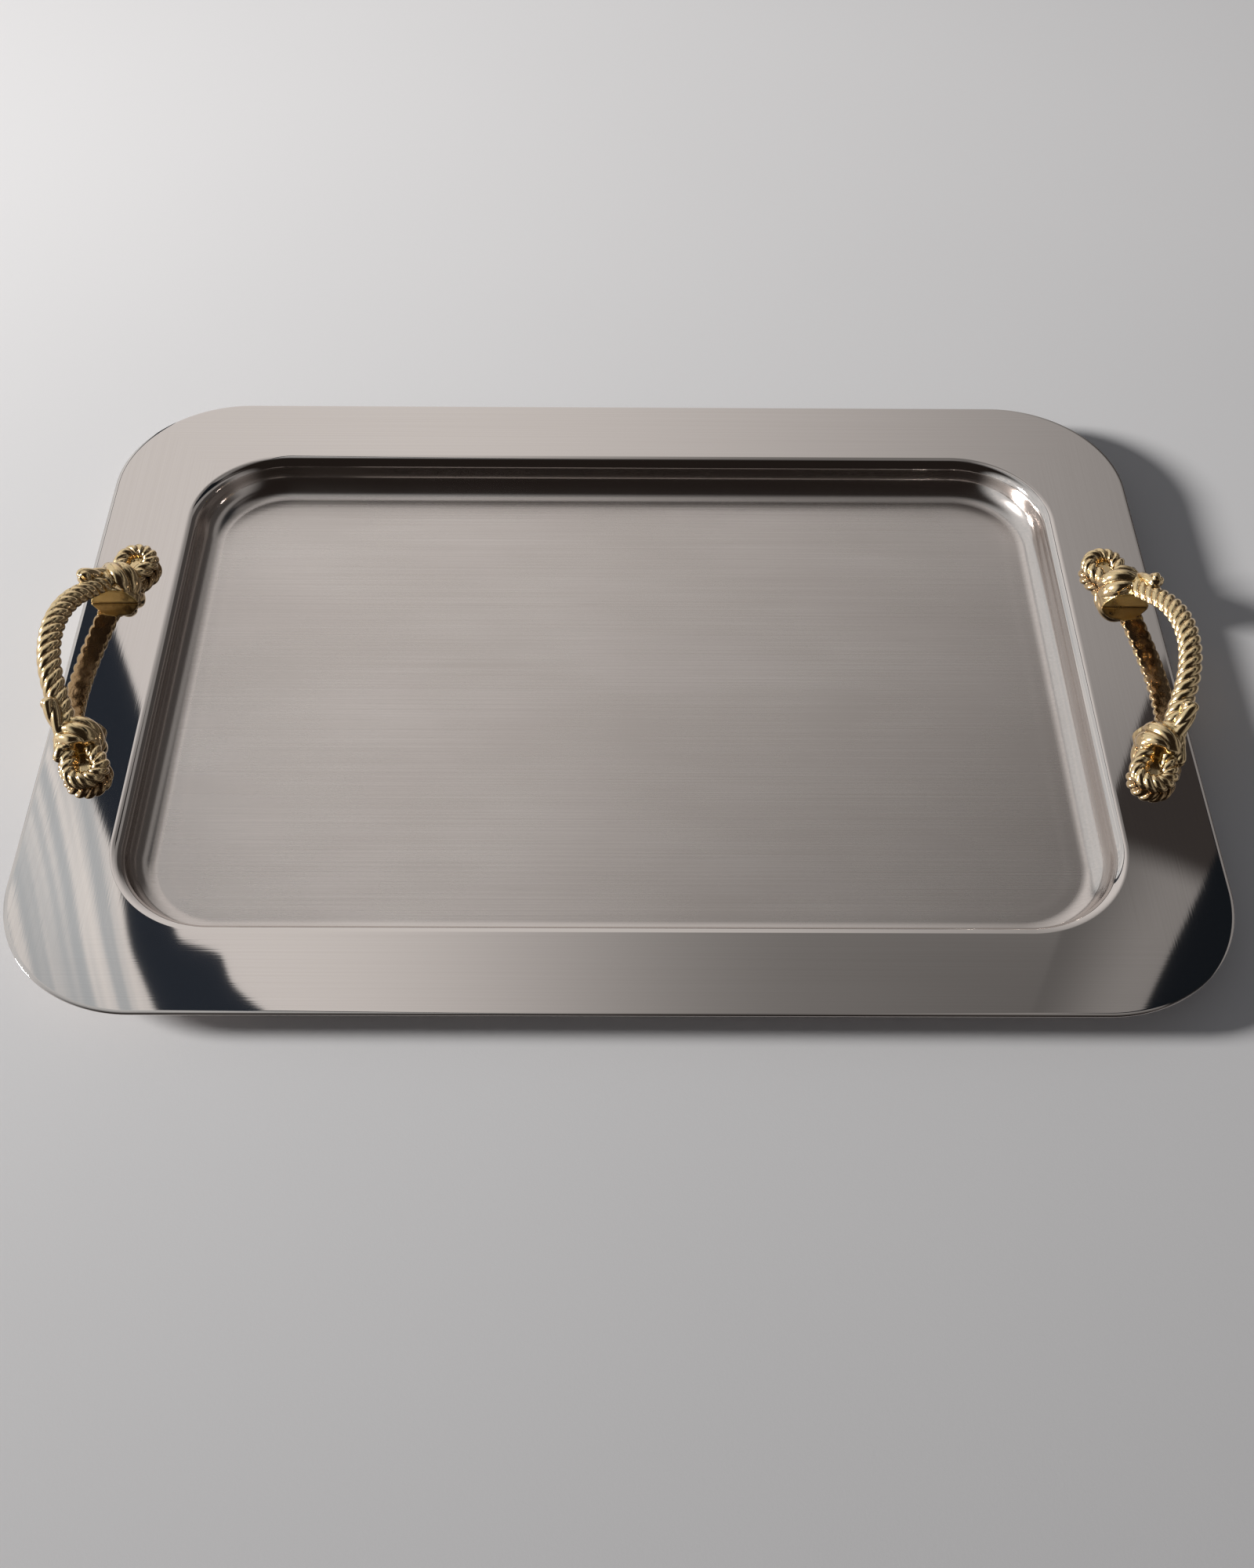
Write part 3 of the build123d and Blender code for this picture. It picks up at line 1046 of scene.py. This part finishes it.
# Studio
@dataclass(frozen=True)
class Room:
    """The room that the steel mirrors, as bands of light and shade by direction.

    A bearing is in degrees clockwise from the far side, a height is the sine of an elevation, and a side
    or a depth is how far a direction goes to the right or away. A pair is where a band starts and ends.
    """

    sky: Colour = (1.0, 0.995, 0.985)
    curtain: Colour = (0.64, 0.71, 0.75)
    fold: Colour = (1.14, 1.14, 1.12)
    post: Colour = (0.026, 0.034, 0.047)
    shadow: Colour = (0.050, 0.045, 0.043)
    black: Colour = (0.010, 0.013, 0.017)
    gloom: Colour = (0.020, 0.016, 0.014)
    ambient: Colour = (0.115, 0.115, 0.12)
    backdrop: Colour = (0.72, 0.71, 0.715)
    unlit: Colour = (0.0, 0.0, 0.0)
    wall_sides: Pair = (-0.15, 0.42)
    wall_lights: Pair = (0.88, 0.32)
    ceiling_heights: Pair = (0.70, 0.84)
    ceiling_sides: Pair = (-0.22, 0.12)
    ceiling_shade: float = 0.62
    fold_heights: Pair = (0.72, 0.86)
    fold_lean: float = 3.0
    fold_scales: Pair = (1.5, 3.0)
    fold_edges: Pair = (0.38, 0.62)
    pelmet_heights: Pair = (0.765, 0.86)
    pelmet_shade: float = 0.22
    tuck_bearing: float = -29.5
    tuck_width: float = 4.0
    tuck_shade: float = 0.12
    drape_bearings: Pair = (-26.45, -26.15)
    drape_heights: Pair = (0.775, 0.812)
    drape_sweep: float = 0.95
    jamb_bearing: float = -22.8
    jamb_edges: Pair = (-0.12, 0.12)
    lock_foot: Pair = (0.759, 0.771)
    lock_head: Pair = (0.809, 0.821)
    lock_width: float = -1.9
    lintel_heights: Pair = (0.826, 0.850)
    lintel_width: float = 2.0
    eaves_heights: Pair = (0.69, 0.71)
    corner_bearings: Pair = (24.9, 25.1)
    grey_bearings: Pair = (25.0, 29.5)
    grey_light: float = 0.16
    grey_gain: float = 0.15
    nook_heights: Pair = (0.766, 0.778)
    shelf_bearings: Pair = (30.4, 30.6)
    shelf_ends: Pair = (75.0, 95.0)
    shelf_heights: Pair = (0.872, 0.895)
    skirting_bearings: Pair = (16.0, 30.0)
    skirting_ends: Pair = (100.0, 125.0)
    skirting_heights: Pair = (0.44, 0.54)
    skirting_share: float = 0.9
    behind_depths: Pair = (-0.10, 0.32)
    behind_sides: Pair = (0.40, 0.80)

    def far_wall(self, shader: Shader, x: Value, z: Value) -> Value:
        """Return the pale wall, which dims to the right and towards the ceiling."""
        side = shader.blended(x.rise(*self.wall_sides), *self.wall_lights)
        high = 1 - z.rise(*self.ceiling_heights) * x.rise(*self.ceiling_sides) * self.ceiling_shade
        return shader.mixed(side * high, self.unlit, self.sky)

    def drapery(self, shader: Shader, bearing: Value, z: Value) -> Value:
        """Return the curtain's folds, which lean with height and are dimmer at the top."""
        lean = bearing + z.rise(*self.fold_heights) * self.fold_lean
        swept = shader.node("ShaderNodeCombineXYZ", inputs={
            0: lean * self.fold_scales[0], 1: z * self.fold_scales[1]})
        folds = shader.noise(swept, 1.0, 3.0, 0.6)
        overhead = 1 - z.rise(*self.pelmet_heights) * self.pelmet_shade
        tuck = 1 - abs(bearing - self.tuck_bearing).rise(0.0, self.tuck_width) * self.tuck_shade
        cloth = shader.mixed(folds.rise(*self.fold_edges), self.curtain, self.fold)
        return shader.mixed(overhead * tuck, self.unlit, cloth)

    def doorway(self, shader: Shader, x: Value, z: Value, bearing: Value) -> Value:
        """Hang the curtain to the left of a dark door post.

        Args:
            shader: the surroundings' shader.
            x: how far the direction goes to the right.
            z: its height.
            bearing: its bearing.

        Returns:
            The wall, post and curtain.
        """
        lock = z.rise(*self.lock_foot) * z.fall(*self.lock_head) * self.lock_width
        jamb = lock + z.rise(*self.lintel_heights) * self.lintel_width + self.jamb_bearing
        post = (bearing - jamb).fall(*self.jamb_edges)
        sweep = z.rise(*self.drape_heights) * self.drape_sweep
        drawn = (bearing + sweep).fall(*self.drape_bearings)
        open_part = shader.mixed(post, self.far_wall(shader, x, z), self.post)
        return shader.mixed(drawn, open_part, self.drapery(shader, bearing, z))

    def mirrored(self, shader: Shader, x: Value, y: Value, z: Value) -> Value:
        """Put the dark corner, shelf and skirting at the right and the gloom behind round the doorway.

        Args:
            shader: the surroundings' shader.
            x: how far the direction goes to the right.
            y: how far it goes away.
            z: its height.

        Returns:
            The whole room's colour.
        """
        atan = shader.node("ShaderNodeMath", {"operation": "ARCTAN2"}, {0: x, 1: y})
        bearing = atan * degrees(1.0)
        eaves = z.rise(*self.eaves_heights)
        corner = bearing.rise(*self.corner_bearings) * eaves
        lit = self.grey_light + bearing.rise(*self.grey_bearings) * self.grey_gain
        grey = shader.mixed(lit, self.unlit, self.sky)
        nook = shader.mixed(z.fall(*self.nook_heights), grey, self.shadow)
        across = bearing.rise(*self.shelf_bearings) * bearing.fall(*self.shelf_ends)
        shelf = across * z.fall(*self.shelf_heights) * eaves
        dusk = shader.mixed(corner, self.doorway(shader, x, z, bearing), nook)
        dusk = shader.mixed(shelf, dusk, self.black)
        across = bearing.rise(*self.skirting_bearings) * bearing.fall(*self.skirting_ends)
        skirting = across * z.fall(*self.skirting_heights) * self.skirting_share
        behind = y.fall(*self.behind_depths) * abs(x).fall(*self.behind_sides)
        return shader.mixed(behind, shader.mixed(skirting, dusk, self.shadow), self.gloom)

    def build(self) -> None:
        """Surround the tray: glossy surfaces see the room, matt ones an even dusk."""
        world = bpy.data.worlds.new("studio_room")
        bpy.context.scene.world = world
        world.use_nodes = True
        shader = Shader(world.node_tree)
        x, y, z = shader.parts(shader.node("ShaderNodeTexCoord", out="Generated"))
        glossy = shader.node("ShaderNodeLightPath", out="Is Glossy Ray")
        lit = shader.mixed(glossy, self.ambient, self.mirrored(shader, x, y, z))
        seen = shader.node("ShaderNodeLightPath", out="Is Camera Ray")
        colour = shader.mixed(seen, lit, self.backdrop)
        body = shader.node("ShaderNodeBackground", inputs={"Color": colour, "Strength": 1.0})
        shader.node("ShaderNodeOutputWorld", inputs={"Surface": body})
        world.cycles.sampling_method = "NONE"


@dataclass(frozen=True)
class Studio:
    """A pale paper floor, a soft key light at the far left, the room round them and the camera."""

    room: Room = Room()
    floor_half: float = 7.0
    floor_drop: float = 0.2 * MM
    key_place: Triple = (-3.6, -0.2, 1.5)
    key_size: float = 0.75
    key_power: float = 30.0
    key_colour: Colour = (1.0, 0.985, 0.97)
    key_aim: Triple = (0.0, 0.7, 0.0)
    key_spread: float = radians(60.0)
    camera_place: Triple = (-0.00165, -0.5786, 0.6532)
    camera_pitch: float = radians(51.51)
    camera_yaw: float = radians(0.54)
    camera_roll: float = radians(0.62)
    sensor_width: float = 36.0
    focal_length: float = 39.564

    def floor(self) -> bpy.types.Object:
        """Lay the flat paper floor, a hair under the tray."""
        half = self.floor_half
        corners = ((-half, -half), (half, -half), (half, half), (-half, half))
        mesh = bpy.data.meshes.new("studio_floor")
        mesh.from_pydata([(x, y, -self.floor_drop) for x, y in corners], [], [(0, 1, 2, 3)])
        mesh.materials.append(PaperFloor().material())
        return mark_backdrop(placed("studio_floor", mesh))

    def key(self) -> None:
        """Hang the key light at the left, aimed past the tray's far side."""
        light = bpy.data.lights.new("key_light", "AREA")
        light.shape, light.size, light.energy = "DISK", self.key_size, self.key_power
        light.color = self.key_colour
        light.spread = self.key_spread
        place = Vector(self.key_place)
        facing = (Vector(self.key_aim) - place).to_track_quat("-Z", "Y").to_matrix().to_4x4()
        placed("key_light", light).matrix_world = Matrix.Translation(place) @ facing

    def camera(self) -> None:
        """Stand the camera over the near side, looking down at the tray."""
        lens = bpy.data.cameras.new("view")
        lens.sensor_fit = "AUTO"
        lens.sensor_width, lens.lens = self.sensor_width, self.focal_length
        pitch, yaw, roll = self.camera_pitch, self.camera_yaw, self.camera_roll
        ahead = Vector((sin(yaw) * cos(pitch), cos(yaw) * cos(pitch), -sin(pitch)))
        level = Vector((cos(yaw), -sin(yaw), 0))
        upward = level.cross(ahead)
        right = cos(roll) * level + sin(roll) * upward
        above = cos(roll) * upward - sin(roll) * level
        pose = Matrix((right, above, -ahead)).transposed().to_4x4()
        pose.translation = self.camera_place
        camera = placed("view", lens)
        camera.matrix_world = pose
        bpy.context.scene.camera = camera
        bpy.context.scene.view_settings.view_transform = "Standard"


def dress_fasteners() -> None:
    """Give every screw and washer the plated finish."""
    plated = PlatedSteel().material()
    for name, node in frame["nodes"].items():
        if name.startswith(("screw_", "washer_")):
            for slot in node.material_slots:
                slot.material = plated
            LOG.info("dressed %s", name)


def main() -> None:
    """Build every piece, dress it and fix it to the frame."""
    logging.basicConfig(level=logging.INFO, format="%(message)s")
    studio = Studio()
    studio.camera()
    studio.room.build()
    studio.key()
    studio.floor()

    pan = TrayPan().build()
    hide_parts("tray_pan")
    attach(pan, "root")
    LOG.info("built %s with %d faces", pan.name, len(pan.data.polygons))

    brass = CastBrass().material()
    for node, side in (("left_handle", Turn.LEFT), ("right_handle", Turn.RIGHT)):
        handle = RopeHandle(node, side, brass).build()
        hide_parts(node)
        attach(handle, "root")
        LOG.info("built %s with %d faces", handle.name, len(handle.data.polygons))
    dress_fasteners()


if __name__ == "__main__":
    main()
